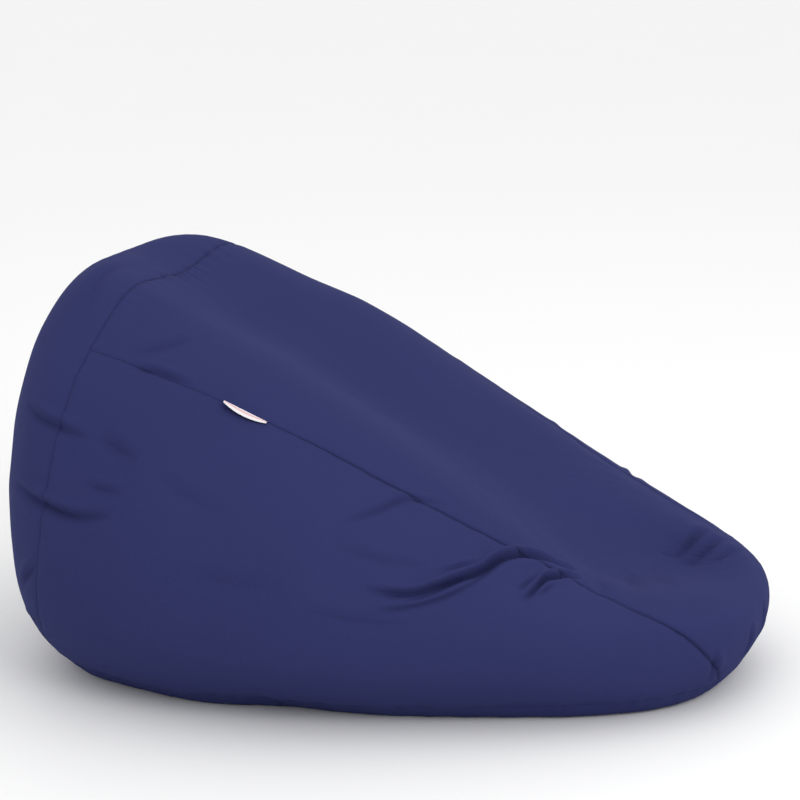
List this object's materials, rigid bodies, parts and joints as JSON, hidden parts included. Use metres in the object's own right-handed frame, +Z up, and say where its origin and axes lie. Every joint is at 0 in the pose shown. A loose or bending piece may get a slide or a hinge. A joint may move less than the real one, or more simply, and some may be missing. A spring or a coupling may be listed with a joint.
{
  "type": "bean bag chair",
  "caption": "High-back bean bag chair with a long sloping seat, low nose, sewn fabric panels and a zipped base over a bead-filled liner.",
  "frame": {"origin": "centre of the bag's bounding box, on the floor that it rests on", "axes": "+Z up; the nose points to -Y and the raised back stands at +Y, which is the longest extent; -X is the sitter's right"},
  "size_m": [0.947, 1.13, 0.5922],
  "materials": {
    "cover_fabric": "matte",
    "label_tape": "satin",
    "care_label_satin": "satin",
    "zip_tape": "matte",
    "zip_coil": "satin",
    "zip_metal": "satin",
    "liner_cloth": "matte",
    "liner_zip_tape": "matte",
    "liner_zip_coil": "satin",
    "polystyrene_beads": "matte"
  },
  "bodies": {
    "bag": {"seat_panel": "cover_fabric", "right_side_panel": "cover_fabric", "left_side_panel": "cover_fabric", "back_panel": "cover_fabric", "base_panel_front": "cover_fabric", "base_panel_rear": "cover_fabric", "woven_tab_label": "label_tape", "care_label": "care_label_satin", "zip_tape_front": "zip_tape", "zip_tape_rear": "zip_tape", "zip_coil_front": "zip_coil", "zip_coil_rear": "zip_coil", "zip_stop_closed": "zip_metal", "zip_stop_open": "zip_metal", "zip_end_tab_right": "cover_fabric", "zip_end_tab_left": "cover_fabric", "liner": "liner_cloth", "liner_zip_tape_front": "liner_zip_tape", "liner_zip_tape_rear": "liner_zip_tape", "liner_zip_coil_front": "liner_zip_coil", "liner_zip_coil_rear": "liner_zip_coil", "liner_zip_stop_closed": "zip_metal", "liner_zip_stop_open": "zip_metal", "bead_fill": "polystyrene_beads"},
    "zip_slider": {"zip_slider": "zip_metal"},
    "zip_pull": {"zip_pull": "zip_metal"},
    "liner_zip_slider": {"liner_zip_slider": "zip_metal"}
  },
  "joints": [
    {"name": "zip_slide", "type": "slide", "parent": "bag", "child": "zip_slider", "axis": [1, 0, 0], "range_m": [0, 0.417]},
    {"name": "zip_pull_hinge", "type": "hinge", "parent": "zip_slider", "child": "zip_pull", "pos_m": [-0.2085, 0.06, 0.0084], "axis": [0, 1, 0], "range_deg": [-12, 140]},
    {"name": "liner_zip_slide", "type": "slide", "parent": "bag", "child": "liner_zip_slider", "axis": [1, 0, 0], "range_m": [0, 0.297]}
  ]
}
